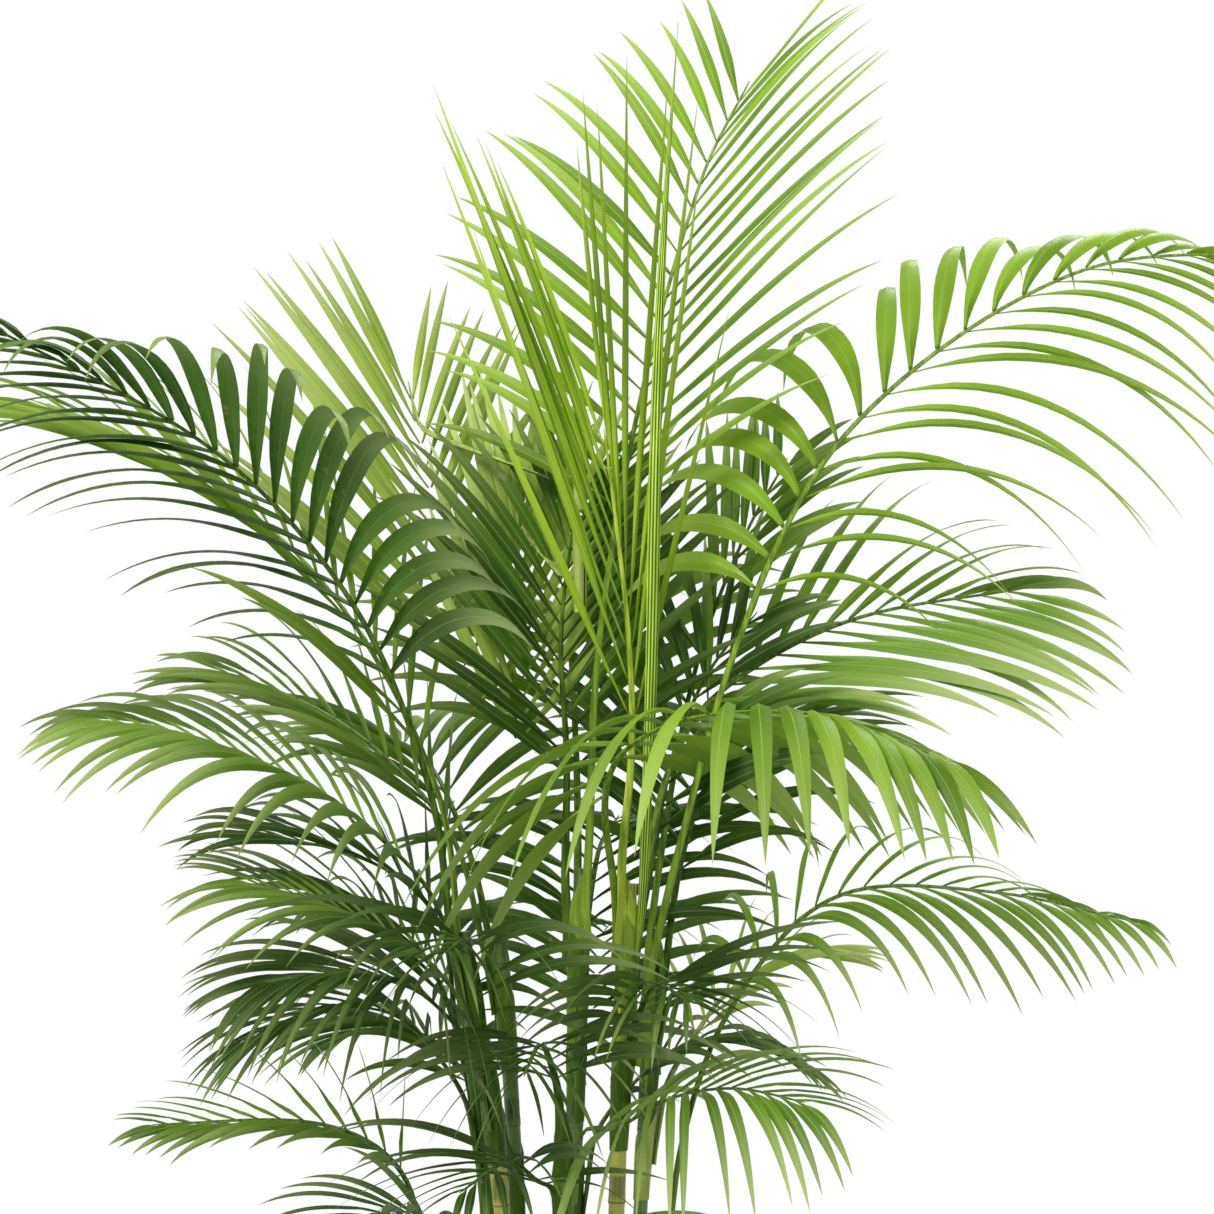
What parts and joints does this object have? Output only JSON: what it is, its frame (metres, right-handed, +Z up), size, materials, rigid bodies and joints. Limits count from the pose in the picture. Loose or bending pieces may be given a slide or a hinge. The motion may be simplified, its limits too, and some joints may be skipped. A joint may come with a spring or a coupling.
{
  "type": "potted palm",
  "caption": "Potted areca palm: a clump of slender canes with arching feather-shaped fronds, standing in soil in a plain round tapered pot.",
  "frame": {"origin": "centre of the underside of the pot", "axes": "+Z up through the plant; -Y towards the viewer; +X to the viewer's right"},
  "size_m": [1.3963, 0.9192, 1.7004],
  "materials": {
    "leaf_bright": "satin, green, lighter at the tips",
    "leaf_light": "satin, pale green",
    "leaf_young": "satin, yellow-green, a newly opened leaf",
    "leaf_mid": "satin, mid green",
    "leaf_dark": "satin, dark green",
    "cane_green": "smooth green bark with ring scars",
    "cane_yellow": "smooth yellow bark with ring scars",
    "cane_brown": "dry brown bark with ring scars",
    "soil": "dark moist potting soil, matt",
    "pot": "smooth warm grey, matt"
  },
  "bodies": {
    "root": {"cane_back": "cane_green", "cane_front": "cane_brown", "cane_front_left": "cane_yellow", "cane_left": "cane_green", "cane_low_left": "cane_brown", "cane_low_right": "cane_green", "cane_rear_left": "cane_green", "cane_rear_right": "cane_green", "cane_right": "cane_yellow", "frond_centre": "leaf_dark", "frond_dense_left": "leaf_dark", "frond_fill_back": "leaf_dark", "frond_fill_left": "leaf_dark", "frond_fill_rear": "leaf_dark", "frond_fill_right": "leaf_dark", "frond_foot_front": "leaf_mid", "frond_front": "leaf_bright", "frond_inner": "leaf_dark", "frond_left": "leaf_dark", "frond_left_behind": "leaf_bright", "frond_left_fan": "leaf_mid", "frond_left_foot": "leaf_mid", "frond_left_low": "leaf_mid", "frond_left_mid": "leaf_mid", "frond_left_over": "leaf_dark", "frond_left_short": "leaf_dark", "frond_left_under": "leaf_dark", "frond_low_centre": "leaf_dark", "frond_low_front": "leaf_dark", "frond_low_left": "leaf_dark", "frond_low_right": "leaf_dark", "frond_new": "leaf_young", "frond_rear": "leaf_mid", "frond_rear_left": "leaf_mid", "frond_rear_low": "leaf_dark", "frond_rear_right": "leaf_dark", "frond_rear_rise": "leaf_mid", "frond_right": "leaf_bright", "frond_right_foot": "leaf_mid", "frond_right_long": "leaf_mid", "frond_right_low": "leaf_mid", "frond_right_rear": "leaf_light", "frond_top": "leaf_bright", "frond_upper_left": "leaf_light", "frond_upright": "leaf_light", "pot": "pot", "soil": "soil", "spear": "leaf_young"}
  },
  "joints": []
}
